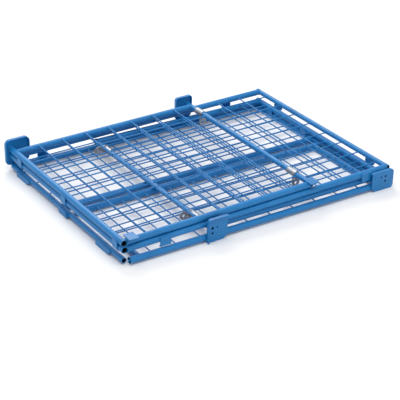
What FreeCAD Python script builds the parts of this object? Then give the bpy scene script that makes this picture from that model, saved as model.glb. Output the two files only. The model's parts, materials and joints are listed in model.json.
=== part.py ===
import FreeCAD, Part
import math
import os
import re
from types import SimpleNamespace

import Sketcher

# Folding pallet converter frame, folded flat: two hinged pairs of mesh gates, one on the other.
# X runs along the long gates, Y across them, Z up. The origin lies on the ground, mid length and width.
# All lengths are in millimetres and all angles in degrees.

SIZES = {
    # Tubes, wires and clearances
    "tube_diameter": 24.0,
    "tube_wall": 2.0,
    "slim_diameter": 20.0,
    "slim_wall": 2.0,
    "wire_diameter": 5.0,
    "mesh_pitch": 100.0,
    "running_gap": 0.3,
    "saddle_trim": 2.0,
    # Place of the long gates' middle, which puts the whole frame's middle at the origin
    "middle_x": 2.557,
    "middle_y": 4.0,
    # Distance between the two post axes of each gate
    "long_span": 1122.5,
    "upper_overrun": 10.5,
    "lower_short_span": 773.5,
    "upper_short_span": 779.0,
    # Lower long gate, the fixed half and its drop flap
    "lower_post_front": 418.0,
    "lower_post_back": 412.0,
    "lower_free_front": 400.0,
    "lower_bottom_rail": 400.0,
    "lower_mid_rail": 28.0,
    "first_upright": 105.0,
    "lower_first_cross": 22.0,
    "flap_pivot_rail": 26.0,
    "flap_top_rail": 409.0,
    "flap_end_clearance": 5.0,
    "flap_left_stile_inset": 55.0,
    "flap_right_stile_inset": 36.5,
    "flap_first_cross": 84.0,
    "pivot_pin_diameter": 19.8,
    "pivot_pin_length": 40.0,
    # Lower short gate
    "lower_short_front": 423.0,
    "lower_short_back": 406.0,
    "lower_short_top_rail": 388.0,
    "lower_short_bottom_rail": 392.0,
    "lower_short_first_upright": 72.5,
    "lower_short_first_cross": 123.0,
    # Upper long gate
    "upper_post_front": 404.0,
    "upper_post_back": 422.0,
    "upper_bottom_rail": 398.0,
    "upper_top_rail": 409.0,
    "upper_first_cross": 55.0,
    # Upper short gate
    "upper_short_front": 401.0,
    "upper_short_back": 423.0,
    "upper_short_bottom_rail": 393.0,
    "upper_short_top_rail": 388.0,
    "upper_short_first_upright": 91.0,
    "upper_short_first_cross": 67.0,
    # Stop tabs on the upper short gate's front rail
    "tab_thickness": 4.0,
    "tab_width": 38.0,
    "tab_length": 44.0,
    "tab_corner": 4.0,
    "left_tab_inset": 31.0,
    "left_tab_front": 416.0,
    "free_tab_front": 421.0,
    # Height of the uprights and cross wires above the middle plane of a gate
    "long_upright_rise": 2.5,
    "long_cross_rise": -2.5,
    "short_upright_rise": 10.0,
    "short_cross_rise": 5.0,
    # Hinge straps
    "strap_wall": 3.0,
    "strap_length": 32.0,
    "lower_strap_front": 356.0,
    "lower_strap_middle": 75.0,
    "lower_strap_back": 300.0,
    "upper_strap_front": 363.0,
    "upper_strap_middle": 6.0,
    "upper_strap_back": 330.0,
    # Corner plates: how far each reaches beyond its post, into the gate, up and down
    "plate_thickness": 4.0,
    "plate_lip": 8.0,
    "plate_foot": 0.5,
    "lower_left_plate_outer": 36.0,
    "lower_left_plate_inner": 48.0,
    "lower_left_plate_rise": 53.0,
    "lower_right_plate_inner": 78.5,
    "lower_right_plate_outer": 22.6,
    "lower_right_plate_rise": 37.0,
    "upper_left_plate_outer": 27.0,
    "upper_left_plate_inner": 73.0,
    "upper_left_plate_rise": 42.0,
    "upper_left_plate_drop": 64.0,
    "upper_right_plate_inner": 54.0,
    "upper_right_plate_outer": 23.0,
    "upper_right_plate_rise": 35.0,
    "upper_right_plate_drop": 60.0,
    "plate_wide_round": 28.0,
    "plate_round": 21.0,
    "plate_close_round": 13.0,
    "plate_edge_round": 3.0,
    "plate_lip_clearance": 1.3,
    "plate_large_hole": 10.0,
    "plate_middle_hole": 8.5,
    "plate_small_hole": 6.5,
    "left_plate_hole_inset": 14.0,
    "right_plate_hole_inset": 16.5,
    "plate_hole_spacing": 20.0,
    "plate_hole_rise": 14.5,
    "plate_hole_drop": 4.5,
    # Catch lugs
    "lug_thickness": 5.0,
    "lug_corner": 4.0,
    "lower_lug_length": 95.0,
    "lower_lug_height": 20.0,
    "lower_lug_slope": 16.0,
    "lower_lug_front": 282.0,
    "lower_lug_back": 307.0,
    "upper_lug_length": 50.0,
    "upper_lug_drop": 12.6,
    "upper_lug_slope": 5.0,
    "upper_lug_offset": 2.5,
    "upper_lug_front": 310.0,
    "upper_lug_back": 270.0,
    # Edge hooks of the upper long gate
    "hook_width": 42.0,
    "hook_thickness": 4.0,
    "hook_rise": 10.0,
    "hook_drop": 26.0,
    "hook_lip": 5.0,
    "front_left_hook": 155.0,
    "front_right_hook": 108.0,
    "back_left_hook": 127.0,
    "back_right_hook": 158.0,
    # Sliding latches
    "latch_bore_gap": 0.3,
    "latch_wall": 2.5,
    "latch_length": 48.0,
    "eye_thickness": 4.0,
    "eye_width": 32.0,
    "eye_reach": 50.0,
    "eye_offset": 19.0,
    "eye_hole": 12.0,
    "eye_small_hole": 6.0,
    "lower_latch_front": 294.0,
    "lower_latch_back": 306.0,
    "upper_latch_front": 288.0,
    "upper_latch_back": 321.0,
}
S = SimpleNamespace(**SIZES)

ALONG_X = FreeCAD.Rotation(FreeCAD.Vector(0, 1, 0), 90)
ALONG_Y = FreeCAD.Rotation(FreeCAD.Vector(1, 0, 0), -90)
UPRIGHT = FreeCAD.Rotation()
NO_SEAT = FreeCAD.Placement()
MIDDLE = FreeCAD.Placement(FreeCAD.Vector(S.middle_x, S.middle_y, 0), UPRIGHT)
PITCH = "(tube_diameter + running_gap)"
STRAP_REACH = "(tube_diameter / 2 + running_gap + strap_wall)"
HINGE_SIDE = "long_span / 2"
FREE_SIDE = "-long_span / 2"
UPPER_FREE_SIDE = "(long_span / 2 + upper_overrun)"


def size(formula):
    """Formula of size names as the sheet's cells are called."""
    return re.sub(r"[a-z]+(?:_[a-z]+)+", lambda found: "dims." + found.group(), str(formula))


def bind(thing, **formulas):
    """Tie properties of an object to formulas of the sizes; x, y and z are its place."""
    for target, formula in formulas.items():
        name = "Placement.Base." + target if target in ("x", "y", "z") else target
        thing.setExpression(name, size(formula))


def bar(doc, name, diameter, length, turn, x, y, z):
    """Solid round bar that starts at x, y, z."""
    rod = doc.addObject("Part::Cylinder", name)
    rod.Placement = FreeCAD.Placement(FreeCAD.Vector(), turn)
    bind(rod, Radius=f"({diameter}) / 2", Height=length, x=x, y=y, z=z)
    return rod


def block(doc, name, length, width, height, x, y, z):
    """Box with its lowest corner at x, y, z."""
    box = doc.addObject("Part::Box", name)
    bind(box, Length=length, Width=width, Height=height, x=x, y=y, z=z)
    return box


def fuse(doc, name, shapes):
    """One solid from several that overlap."""
    joined = doc.addObject("Part::MultiFuse", name)
    joined.Shapes = shapes
    return joined


def cut(doc, name, base, tools):
    """Base with the tools taken away."""
    rest = doc.addObject("Part::Cut", name)
    rest.Base = base
    rest.Tool = tools[0] if len(tools) == 1 else fuse(doc, name + "_tools", tools)
    return rest


def node(thing, name, seat=NO_SEAT):
    """Names a finished piece and sets it in its place."""
    thing.Label = name
    thing.Placement = MIDDLE.multiply(seat).multiply(thing.Placement)
    NODES.append(thing)
    return thing


def tube(doc, name, diameter, wall, length, turn, x, y, z, copes=()):
    """Round tube, open at its ends, with saddles cut for the bars in copes."""
    outer = bar(doc, name + "_outer", diameter, length, turn, x, y, z)
    bore = bar(doc, name + "_bore", f"{diameter} - 2 * {wall}", length, turn, x, y, z)
    return cut(doc, name + "_tube", outer, [bore, *copes])


def touch(rise, diameter="tube_diameter"):
    """Distance from a tube's axis at which a wire's end meets the tube."""
    return f"sqrt(({diameter} / 2)^2 - (abs({rise}) - wire_diameter / 2)^2)"


def post(doc, name, x, z, front, back, slim=False):
    """Upright of a gate, along Y."""
    kind = "slim" if slim else "tube"
    return tube(doc, name, kind + "_diameter", kind + "_wall", f"{front} + {back}", ALONG_Y, x, f"-{front}", z)


def post_cope(doc, name, x, z, y, slim=False):
    """Solid bar with a post's outside, which shapes the end of a rail at y."""
    kind = "slim" if slim else "tube"
    return bar(doc, name, kind + "_diameter", "4 * tube_diameter", ALONG_Y, x, f"{y} - 2 * tube_diameter", z)


def rail(doc, name, left, right, y, z, left_z, right_z, slim_left, slim_right):
    """Rail along X between two posts, with saddled ends."""
    copes = [
        post_cope(doc, name + "_left_cope", left, left_z, y, slim_left),
        post_cope(doc, name + "_right_cope", right, right_z, y, slim_right),
    ]
    length = f"({right}) - ({left}) - 2 * saddle_trim"
    return tube(doc, name, "tube_diameter", "tube_wall", length, ALONG_X, f"{left} + saddle_trim", y, z, copes)


def wires(doc, name, count, turn, start, step, rise, length, plane):
    """Row of parallel mesh wires, one pitch apart, as one compound."""
    row = []
    for number in range(count):
        place = f"{start} {step} {number} * mesh_pitch"
        x, y = (place, length[0]) if turn is ALONG_Y else (length[0], place)
        run = f"({length[1]}) - ({length[0]})"
        row.append(bar(doc, f"{name}_wire_{number + 1}", "wire_diameter", run, turn, x, y, f"{plane} + {rise}"))
    mesh = doc.addObject("Part::Compound", name + "_row")
    mesh.Links = row
    return mesh


def fitting(room, margin=8.0):
    """How many wires fit in a room, counted from the first."""
    return max(int((room - margin) // S.mesh_pitch) + 1, 1)


def strap(doc, name, x, y, own_z, other_z):
    """Hinge strap: goes round the other gate's post and up both sides of its own post."""
    wide = f"(2 * {STRAP_REACH})"
    narrow = "tube_diameter"
    start = f"{y} - strap_length / 2"
    rise = f"({own_z}) - ({other_z})"
    outer = fuse(doc, name + "_outer", [
        bar(doc, name + "_round", wide, "strap_length", ALONG_Y, x, start, other_z),
        block(doc, name + "_legs", wide, "strap_length", rise, f"{x} - {STRAP_REACH}", start, other_z),
    ])
    inner = fuse(doc, name + "_inner", [
        bar(doc, name + "_bore", "(tube_diameter + 2 * running_gap)", "strap_length", ALONG_Y, x, start, other_z),
        block(doc, name + "_slot", narrow, "strap_length", rise, f"{x} - {narrow} / 2", start, other_z),
    ])
    return cut(doc, name + "_strap", outer, [inner])


def rounded(doc, name, box, radii):
    """Box with its four Y edges rounded; radii by corner: top left, top right, bottom left, bottom right."""
    doc.recompute()
    middle = box.Shape.BoundBox.Center
    edges = []
    for number, edge in enumerate(box.Shape.Edges, start=1):
        span = edge.BoundBox
        if span.YLength < max(span.XLength, span.ZLength):
            continue
        upper = span.Center.z > middle.z
        right = span.Center.x > middle.x
        radius = radii[(0 if upper else 2) + (1 if right else 0)]
        if radius > 0:
            edges.append((number, radius, radius))
    soft = doc.addObject("Part::Fillet", name)
    soft.Base = box
    soft.Edges = edges
    return soft


def corner_plate(doc, name, left, right, low, high, end_y, front, lips, inward, radii, holes, clear=None):
    """Stacking plate across a post's end; its top and the sides named in lips are bent over into a lip."""
    wide = f"({right}) - ({left})"
    tall = f"({high}) - ({low})"
    sheet_y = f"{end_y} - plate_thickness" if front else end_y
    lips_ahead = front != inward
    box_y = f"{sheet_y} - plate_lip" if lips_ahead else sheet_y
    hollow_y = f"{sheet_y} - 2 * plate_lip" if lips_ahead else f"{sheet_y} + plate_thickness"
    box = block(doc, name + "_box", wide, "plate_thickness + plate_lip", tall, left, box_y, low)
    hollow_left = f"{left} + plate_thickness" if "left" in lips else f"{left} - plate_thickness"
    hollow_right = f"{right} - plate_thickness" if "right" in lips else f"{right} + plate_thickness"
    hollow = block(doc, name + "_hollow_box", f"({hollow_right}) - ({hollow_left})", "2 * plate_lip", tall,
                   hollow_left, hollow_y, f"{low} - plate_thickness")
    inside = [max(radius - S.plate_thickness, 0.5) if side in lips else 0.0
              for side, radius in zip(("left", "right"), radii)]
    tools = [rounded(doc, name + "_hollow", hollow, [*inside, 0.0, 0.0])]
    for number, (x, z, diameter) in enumerate(holes, start=1):
        tools.append(bar(doc, f"{name}_hole_{number}", diameter, "6 * plate_lip", ALONG_Y,
                         x, f"{end_y} - 3 * plate_lip", z))
    if clear:
        tools.append(block(doc, name + "_clear", f"({right}) - ({clear[0]}) + plate_lip", "2 * plate_lip",
                           f"({clear[1]}) - ({low}) + plate_lip", clear[0], hollow_y, f"{low} - plate_lip"))
    return cut(doc, name + "_cut", rounded(doc, name + "_plate", box, radii), tools)


def sleeve(doc, name, x, y, z):
    """Latch sleeve that slides on a slim post."""
    bore = "(slim_diameter + 2 * latch_bore_gap)"
    return tube(doc, name, f"({bore} + 2 * latch_wall)", "latch_wall", "latch_length", ALONG_Y,
                x, f"{y} - latch_length / 2", z)


def eye_down(doc, name, x, y, z):
    """Latch eye that hangs from its sleeve: a tongue with a locking hole and two small ones."""
    start = f"{y} - eye_thickness / 2"
    round_z = f"{z} - eye_reach + eye_width / 2"
    tongue = fuse(doc, name + "_tongue", [
        block(doc, name + "_shank", "eye_width", "eye_thickness", "eye_reach - eye_width / 2",
              f"{x} - eye_width / 2", start, round_z),
        bar(doc, name + "_end", "eye_width", "eye_thickness", ALONG_Y, x, start, round_z),
    ])
    small_z = f"{z} - slim_diameter / 2 - latch_wall - eye_small_hole"
    tools = [
        bar(doc, name + "_hole", "eye_hole", "3 * eye_thickness", ALONG_Y, x, f"{start} - eye_thickness", round_z),
        bar(doc, name + "_left_hole", "eye_small_hole", "3 * eye_thickness", ALONG_Y,
            f"{x} - eye_width / 4", f"{start} - eye_thickness", small_z),
        bar(doc, name + "_right_hole", "eye_small_hole", "3 * eye_thickness", ALONG_Y,
            f"{x} + eye_width / 4", f"{start} - eye_thickness", small_z),
        bar(doc, name + "_seat", "(slim_diameter + 2 * latch_bore_gap + 2 * latch_wall)", "3 * eye_thickness",
            ALONG_Y, x, f"{start} - eye_thickness", z),
    ]
    return cut(doc, name + "_eye", tongue, tools)


def eye_out(doc, name, x, y, z):
    """Latch eye turned outboard from its sleeve, toward -X."""
    start = f"{y} - eye_thickness / 2"
    round_x = f"{x} - eye_reach + eye_width / 2"
    tongue = fuse(doc, name + "_tongue", [
        block(doc, name + "_shank", "eye_reach - eye_width / 2", "eye_thickness", "eye_width",
              round_x, start, f"{z} - eye_width / 2"),
        bar(doc, name + "_end", "eye_width", "eye_thickness", ALONG_Y, round_x, start, z),
    ])
    small_x = f"{x} - slim_diameter / 2 - latch_wall - eye_small_hole"
    tools = [
        bar(doc, name + "_hole", "eye_hole", "3 * eye_thickness", ALONG_Y, round_x, f"{start} - eye_thickness", z),
        bar(doc, name + "_low_hole", "eye_small_hole", "3 * eye_thickness", ALONG_Y,
            small_x, f"{start} - eye_thickness", f"{z} - eye_width / 4"),
        bar(doc, name + "_high_hole", "eye_small_hole", "3 * eye_thickness", ALONG_Y,
            small_x, f"{start} - eye_thickness", f"{z} + eye_width / 4"),
        bar(doc, name + "_seat", "(slim_diameter + 2 * latch_bore_gap + 2 * latch_wall)", "3 * eye_thickness",
            ALONG_Y, x, f"{start} - eye_thickness", z),
    ]
    return cut(doc, name + "_eye", tongue, tools)


def outline(doc, name, plane, points, depth):
    """Body padded from a closed outline; each corner is two formulas of the sizes, both above zero."""
    body = doc.addObject("PartDesign::Body", name)
    sketch = body.newObject("Sketcher::SketchObject", name + "_sketch")
    base = [part for part in body.Origin.OriginFeatures if part.Role == plane][0]
    sketch.AttachmentSupport = [(base, "")]
    sketch.MapMode = "FlatFace"
    count = len(points)
    rough = [FreeCAD.Vector(20 + 10 * math.cos(6.283 * k / count), 20 + 10 * math.sin(6.283 * k / count), 0)
             for k in range(count)]
    for number in range(count):
        sketch.addGeometry(Part.LineSegment(rough[number], rough[(number + 1) % count]), False)
    for number in range(count):
        sketch.addConstraint(Sketcher.Constraint("Coincident", number, 2, (number + 1) % count, 1))
    for number, corner in enumerate(points):
        for kind, formula, now in zip(("DistanceX", "DistanceY"), corner, rough[number]):
            index = sketch.addConstraint(Sketcher.Constraint(kind, -1, 1, number, 1, now))
            sketch.setExpression(f"Constraints[{index}]", size(formula))
    pad = body.newObject("PartDesign::Pad", name + "_pad")
    pad.Profile = sketch
    pad.setExpression("Length", size(depth))
    doc.recompute()
    return body


def round_corners(doc, body, name, radius, axis, wanted):
    """Rounds the edges of a body that run along an axis and stand at a wanted place."""
    base = body.Tip
    names = []
    for number, edge in enumerate(base.Shape.Edges, start=1):
        ends = edge.Vertexes
        along = len(ends) == 2 and abs((ends[1].Point - ends[0].Point).normalize().dot(axis)) > 0.999
        if along and wanted(edge.CenterOfMass):
            names.append(f"Edge{number}")
    soft = body.newObject("PartDesign::Fillet", name + "_rounding")
    soft.Base = (base, names)
    soft.setExpression("Radius", size(radius))
    body.Tip = soft
    doc.recompute()


def catch_lug(doc, name, x, y, low, length, height, slope, seat=NO_SEAT):
    """Upright lug plate at a slim post, with one end of its lower edge sloped off."""
    points = [(slope, "0"), (length, "0"), (length, height), ("0", height), ("0", f"({height}) / 2")]
    body = outline(doc, name, "YZ_Plane", points, "lug_thickness")
    round_corners(doc, body, name, "lug_corner", FreeCAD.Vector(1, 0, 0), lambda point: point.z < 0.1)
    body.Placement = FreeCAD.Placement(FreeCAD.Vector(x, y, low), UPRIGHT)
    return node(body, name, seat)


def stop_tab(doc, name, x, front, seat):
    """Flat tab that lies on the upper short gate's front rail."""
    points = [("0", "0"), ("tab_width", "0"), ("tab_width", "tab_length"), ("0", "tab_length")]
    body = outline(doc, name, "XY_Plane", points, "tab_thickness")
    round_corners(doc, body, name, "tab_corner", FreeCAD.Vector(0, 0, 1), lambda point: True)
    top = S.tube_diameter * 1.5 + S.running_gap
    body.Placement = FreeCAD.Placement(FreeCAD.Vector(x - S.tab_width / 2, -front, top), UPRIGHT)
    return node(body, name, seat)


def edge_hook(doc, name, x, y, outward, seat):
    """Bent plate on a rail's outer side that reaches down and grips under the lower gate's edge."""
    tall = "(hook_rise + hook_drop)"
    points = [("0", "0"), ("hook_thickness + hook_lip", "0"), ("hook_thickness + hook_lip", "hook_thickness"),
              ("hook_thickness", "hook_thickness"), ("hook_thickness", tall), ("0", tall)]
    body = outline(doc, name, "YZ_Plane", points, "hook_width")
    round_corners(doc, body, name, "hook_thickness", FreeCAD.Vector(1, 0, 0),
                  lambda point: point.y < 0.1 and point.z < 0.1)
    turn = FreeCAD.Rotation() if outward < 0 else FreeCAD.Rotation(180, 0, 0)
    corner = FreeCAD.Vector(outward * S.hook_width / 2, outward * S.hook_thickness, -S.hook_drop)
    body.Placement = FreeCAD.Placement(FreeCAD.Vector(x, y, 0) + corner, turn)
    return node(body, name, seat)


NODES = []


def lower_plane():
    """Height of the lower long gate's middle plane: its hinge straps stand on the ground."""
    return STRAP_REACH


def build_lower_long(doc):
    """Lower long gate: frame of the fixed half, lugs and the pins that the flap turns on."""
    z = lower_plane()
    node(post(doc, "lower_long_hinge_post", HINGE_SIDE, z, "lower_post_front", "lower_post_back"),
         "lower_long_hinge_post")
    node(post(doc, "lower_long_free_post", FREE_SIDE, z, "lower_free_front", "lower_post_back", slim=True),
         "lower_long_free_post")
    for name, y in (("bottom", "lower_bottom_rail"), ("mid", "lower_mid_rail")):
        node(rail(doc, f"lower_long_{name}_rail", FREE_SIDE, HINGE_SIDE, y, z, z, z, True, False),
             f"lower_long_{name}_rail")
    first = "-long_span / 2 + first_upright"
    run = (f"lower_mid_rail + {touch('long_upright_rise')}", f"lower_bottom_rail - {touch('long_upright_rise')}")
    count = fitting(S.long_span - S.first_upright - S.tube_diameter / 2)
    node(wires(doc, "lower_long_uprights", count, ALONG_Y, first, "+", "long_upright_rise", run, z),
         "lower_long_uprights")
    run = (f"{FREE_SIDE} + {touch('long_cross_rise', 'slim_diameter')}", f"{HINGE_SIDE} - {touch('long_cross_rise')}")
    count = fitting(S.lower_bottom_rail - S.lower_mid_rail - S.lower_first_cross - S.tube_diameter / 2)
    node(wires(doc, "lower_long_cross_wires", count, ALONG_X, "lower_mid_rail + lower_first_cross", "+",
               "long_cross_rise", run, z), "lower_long_cross_wires")
    outboard = -S.long_span / 2 - S.slim_diameter / 2 - S.lug_thickness
    for label, y in (("front", -S.lower_lug_front), ("back", S.lower_lug_back)):
        catch_lug(doc, f"lower_long_{label}_lug", outboard, y - S.lower_lug_length / 2, S.running_gap,
                  "lower_lug_length", "lower_lug_height", "lower_lug_slope")
    left_cope = post_cope(doc, "left_pin_cope", FREE_SIDE, z, "-flap_pivot_rail", True)
    right_cope = post_cope(doc, "right_pin_cope", HINGE_SIDE, z, "-flap_pivot_rail", False)
    left = bar(doc, "left_pin", "pivot_pin_diameter", "pivot_pin_length", ALONG_X, FREE_SIDE, "-flap_pivot_rail", z)
    right = bar(doc, "right_pin", "pivot_pin_diameter", "pivot_pin_length", ALONG_X,
                f"{HINGE_SIDE} - pivot_pin_length", "-flap_pivot_rail", z)
    node(cut(doc, "left_pin_saddled", left, [left_cope]), "lower_long_left_pivot_pin")
    node(cut(doc, "right_pin_saddled", right, [right_cope]), "lower_long_right_pivot_pin")


def build_flap(doc):
    """Drop flap of the lower long gate, which turns down on the two pins."""
    z = lower_plane()
    left = f"{FREE_SIDE} + slim_diameter / 2 + flap_end_clearance"
    right = f"{HINGE_SIDE} - tube_diameter / 2 - flap_end_clearance"
    for name, y in (("bottom", "-flap_pivot_rail"), ("top", "-flap_top_rail")):
        node(tube(doc, f"lower_flap_{name}_rail", "tube_diameter", "tube_wall", f"({right}) - ({left})",
                  ALONG_X, left, y, z), f"lower_flap_{name}_rail")
    stiles = (("left", f"{FREE_SIDE} + flap_left_stile_inset"), ("right", f"{HINGE_SIDE} - flap_right_stile_inset"))
    for name, x in stiles:
        copes = [bar(doc, f"{name}_stile_{end}_cope", "tube_diameter", "4 * tube_diameter", ALONG_X,
                     f"{x} - 2 * tube_diameter", y, z)
                 for end, y in (("top", "-flap_top_rail"), ("bottom", "-flap_pivot_rail"))]
        node(tube(doc, f"lower_flap_{name}_stile", "slim_diameter", "slim_wall", "flap_top_rail - flap_pivot_rail",
                  ALONG_Y, x, "-flap_top_rail", z, copes), f"lower_flap_{name}_stile")
    first = "-long_span / 2 + first_upright"
    run = (f"-flap_top_rail + {touch('long_upright_rise')}", f"-flap_pivot_rail - {touch('long_upright_rise')}")
    count = fitting(S.long_span - S.first_upright - S.flap_right_stile_inset - S.slim_diameter / 2)
    node(wires(doc, "lower_flap_uprights", count, ALONG_Y, first, "+", "long_upright_rise", run, z),
         "lower_flap_uprights")
    reach = touch("long_cross_rise", "slim_diameter")
    run = (f"{stiles[0][1]} + {reach}", f"{stiles[1][1]} - {reach}")
    count = fitting(S.flap_top_rail - S.flap_pivot_rail - S.flap_first_cross - S.tube_diameter / 2)
    node(wires(doc, "lower_flap_cross_wires", count, ALONG_X, "-flap_top_rail + flap_first_cross", "+",
               "long_cross_rise", run, z), "lower_flap_cross_wires")


def short_gate(doc, name, hinge, free, plane, free_z, front, back, front_rail, back_rail, first_cross, inward, seat):
    """Frame and mesh of a short gate between its hinge post and its slim free post."""
    node(post(doc, f"{name}_hinge_post", hinge, plane, front, back), f"{name}_hinge_post", seat)
    node(post(doc, f"{name}_free_post", free, free_z, front, back, slim=True), f"{name}_free_post", seat)
    left, right = (hinge, free) if inward == "+" else (free, hinge)
    left_z, right_z = (plane, free_z) if inward == "+" else (free_z, plane)
    slim_left = inward == "-"
    for label, y in (("front", f"-{front_rail}"), ("back", back_rail)):
        node(rail(doc, f"{name}_{label}_rail", left, right, y, plane, left_z, right_z, slim_left, not slim_left),
             f"{name}_{label}_rail", seat)
    span = abs(getattr(S, name + "_span"))
    run = (f"-{front_rail} + {touch('short_upright_rise')}", f"{back_rail} - {touch('short_upright_rise')}")
    count = fitting(span - getattr(S, name + "_first_upright") - S.slim_diameter / 2)
    node(wires(doc, f"{name}_uprights", count, ALONG_Y, f"{hinge} {inward} {name}_first_upright", inward,
               "short_upright_rise", run, plane), f"{name}_uprights", seat)
    offset = f"(short_cross_rise + ({plane}) - ({free_z}))"
    hinge_end = touch("short_cross_rise")
    free_end = touch(offset, "slim_diameter")
    if inward == "+":
        run = (f"{hinge} + {hinge_end}", f"{free} - {free_end}")
    else:
        run = (f"{free} + {free_end}", f"{hinge} - {hinge_end}")
    room = getattr(S, front_rail) + getattr(S, back_rail) - getattr(S, first_cross) - S.tube_diameter / 2
    node(wires(doc, f"{name}_cross_wires", fitting(room), ALONG_X, f"-{front_rail} + {first_cross}", "+",
               "short_cross_rise", run, plane), f"{name}_cross_wires", seat)


def build_lower_short(doc):
    """Lower short gate: frame, mesh, straps, corner plates and latches."""
    plane = f"({lower_plane()} + {PITCH})"
    free = "(long_span / 2 - lower_short_span)"
    free_z = f"({plane} - (tube_diameter - slim_diameter) / 2)"
    hinge = "(long_span / 2)"
    name = "lower_short"
    short_gate(doc, name, hinge, free, plane, free_z, "lower_short_front", "lower_short_back",
               "lower_short_top_rail", "lower_short_bottom_rail", "lower_short_first_cross", "-", NO_SEAT)
    for label, y in (("front", "-lower_strap_front"), ("middle", "lower_strap_middle"), ("back", "lower_strap_back")):
        node(strap(doc, f"{name}_{label}_strap", hinge, y, plane, lower_plane()), f"{name}_{label}_strap")
    upper_z = f"{plane} + plate_hole_rise"
    lower_z = f"{plane} - plate_hole_drop"
    first = f"{free} - left_plate_hole_inset"
    node(corner_plate(doc, f"{name}_left_plate", f"({free} - lower_left_plate_outer)",
                      f"({free} + lower_left_plate_inner)", "plate_foot", f"({plane} + lower_left_plate_rise)",
                      "(-lower_short_front)", True, ("left",), False,
                      (S.plate_close_round, S.plate_edge_round, S.plate_edge_round, S.plate_wide_round),
                      [(first, upper_z, "plate_large_hole"), (first, lower_z, "plate_middle_hole"),
                       (f"{first} + plate_hole_spacing", upper_z, "plate_small_hole")]), f"{name}_left_plate")
    first = f"{hinge} - right_plate_hole_inset"
    node(corner_plate(doc, f"{name}_right_plate", f"({hinge} - lower_right_plate_inner)",
                      f"({hinge} + lower_right_plate_outer)", "plate_foot", f"({plane} + lower_right_plate_rise)",
                      "(-lower_short_front)", True, ("right",), True,
                      (S.plate_edge_round, S.plate_close_round, S.plate_round, S.plate_close_round),
                      [(first, upper_z, "plate_middle_hole"), (first, lower_z, "plate_middle_hole"),
                       (f"{first} - plate_hole_spacing", upper_z, "plate_small_hole")]), f"{name}_right_plate")
    for label, y in (("front", "-lower_latch_front"), ("back", "lower_latch_back")):
        node(sleeve(doc, f"lower_{label}_latch_sleeve", free, y, free_z), f"lower_latch_{label}_sleeve")
        node(eye_out(doc, f"lower_{label}_latch", free, f"{y} + eye_offset", free_z), f"lower_latch_{label}_eye")


def upper_seat():
    """Place of the upper pair: its front rail lies on the lower gate's, its lugs on the lower hinge post."""
    low = S.tube_diameter / 2 + S.running_gap + S.strap_wall + S.tube_diameter + S.running_gap
    near = math.sqrt((S.tube_diameter + S.running_gap) ** 2 - (S.upper_bottom_rail - S.lower_short_top_rail) ** 2)
    aside = S.upper_overrun - S.upper_lug_offset - S.lug_thickness
    far = math.sqrt((S.tube_diameter / 2 + S.running_gap) ** 2 - aside ** 2) + S.upper_lug_drop + S.slim_diameter / 2
    slope = (far - near) / (S.lower_short_span + S.upper_overrun)
    hinge_z = low + near - slope * (S.long_span - S.lower_short_span)
    turn = FreeCAD.Rotation(FreeCAD.Vector(0, 1, 0), -math.degrees(math.atan(slope)))
    return FreeCAD.Placement(FreeCAD.Vector(0, 0, hinge_z), turn, FreeCAD.Vector(-S.long_span / 2, 0, 0))


def build_upper_long(doc, seat):
    """Upper long gate: frame, mesh, edge hooks and catch lugs."""
    name = "upper_long"
    node(post(doc, f"{name}_hinge_post", FREE_SIDE, 0, "upper_post_front", "upper_post_back"),
         f"{name}_hinge_post", seat)
    node(post(doc, f"{name}_free_post", UPPER_FREE_SIDE, 0, "upper_post_front", "upper_post_back", slim=True),
         f"{name}_free_post", seat)
    for label, y in (("front", "-upper_bottom_rail"), ("back", "upper_top_rail")):
        node(rail(doc, f"{name}_{label}_rail", FREE_SIDE, UPPER_FREE_SIDE, y, 0, 0, 0, False, True),
             f"{name}_{label}_rail", seat)
    run = (f"-upper_bottom_rail + {touch('long_upright_rise')}", f"upper_top_rail - {touch('long_upright_rise')}")
    count = fitting(S.long_span + S.upper_overrun - S.first_upright - S.slim_diameter / 2)
    node(wires(doc, f"{name}_uprights", count, ALONG_Y, "-long_span / 2 + first_upright", "+",
               "long_upright_rise", run, 0), f"{name}_uprights", seat)
    reach = touch("long_cross_rise", "slim_diameter")
    run = (f"{FREE_SIDE} + {touch('long_cross_rise')}", f"{UPPER_FREE_SIDE} - {reach}")
    count = fitting(S.upper_bottom_rail + S.upper_top_rail - S.upper_first_cross - S.tube_diameter / 2)
    node(wires(doc, f"{name}_cross_wires", count, ALONG_X, "-upper_bottom_rail + upper_first_cross", "+",
               "long_cross_rise", run, 0), f"{name}_cross_wires", seat)
    front = -S.upper_bottom_rail - S.tube_diameter / 2
    back = S.upper_top_rail + S.tube_diameter / 2
    left = -S.long_span / 2
    right = S.long_span / 2 + S.upper_overrun
    edge_hook(doc, f"{name}_front_left_hook", left + S.front_left_hook, front, -1, seat)
    edge_hook(doc, f"{name}_front_right_hook", right - S.front_right_hook, front, -1, seat)
    edge_hook(doc, f"{name}_back_left_hook", left + S.back_left_hook, back, 1, seat)
    edge_hook(doc, f"{name}_back_right_hook", right - S.back_right_hook, back, 1, seat)
    drop = S.slim_diameter / 2 + S.upper_lug_drop
    tall = "(slim_diameter / 2 + upper_lug_drop - sqrt((slim_diameter / 2)^2 - upper_lug_offset^2))"
    inboard = right - S.upper_lug_offset - S.lug_thickness
    for label, y in (("front", -S.upper_lug_front), ("back", S.upper_lug_back)):
        catch_lug(doc, f"{name}_{label}_lug", inboard, y - S.upper_lug_length / 2, -drop,
                  "upper_lug_length", tall, "upper_lug_slope", seat)


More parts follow.
